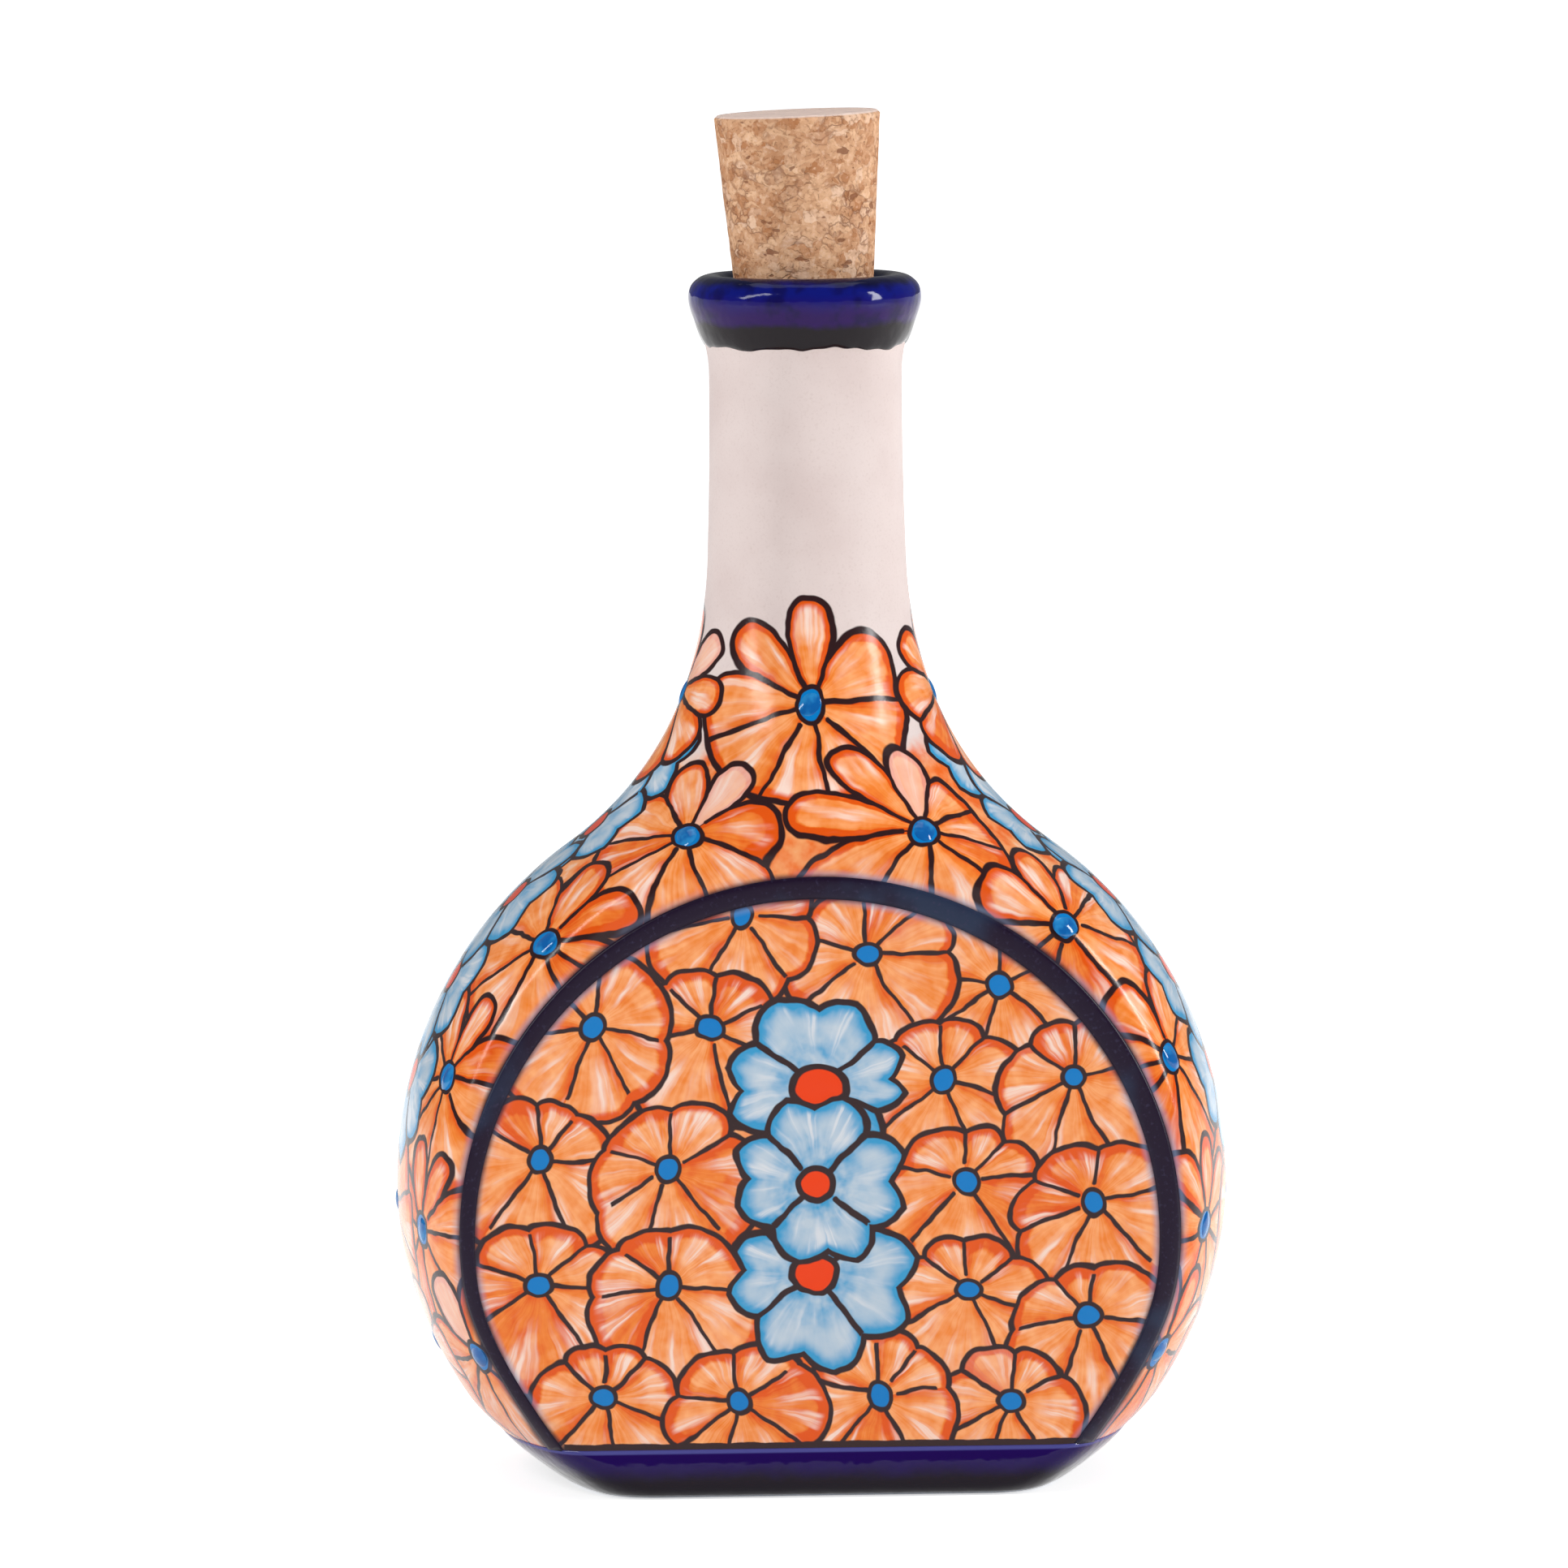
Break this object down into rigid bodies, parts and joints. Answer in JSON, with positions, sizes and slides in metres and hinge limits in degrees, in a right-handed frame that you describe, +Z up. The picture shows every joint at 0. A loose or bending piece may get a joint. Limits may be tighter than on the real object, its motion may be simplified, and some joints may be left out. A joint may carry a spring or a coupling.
{
  "type": "ceramic decanter",
  "caption": "Round-bellied ceramic decanter with flat front and back faces, tall neck, rolled lip, cobalt bands and painted flowers, closed by a tapered cork that lifts out.",
  "frame": {"origin": "centre of the flat base, on the surface the decanter stands on", "axes": "+Z up along the neck, +X across the flat faces, the front face looks towards -Y"},
  "size_m": [0.128, 0.061, 0.2104],
  "materials": {
    "painted_ceramic": "cream glaze painted with orange and blue flowers in dark ink lines",
    "cobalt_glaze": "thick glossy cobalt glaze",
    "cobalt_stripe": "painted cobalt stripe under a satin glaze",
    "cork": "matt agglomerated cork"
  },
  "bodies": {
    "flask": {"flask_body": "painted_ceramic", "rim_glaze": "cobalt_glaze", "foot_glaze": "cobalt_glaze", "front_arch_glaze": "cobalt_stripe", "back_arch_glaze": "cobalt_stripe"},
    "stopper": {"cork_stopper": "cork"}
  },
  "joints": [
    {"name": "cork_lift", "type": "slide", "parent": "flask", "child": "stopper", "axis": [-0.0349, 0, 0.9994], "range_m": [0, 0.06]}
  ]
}
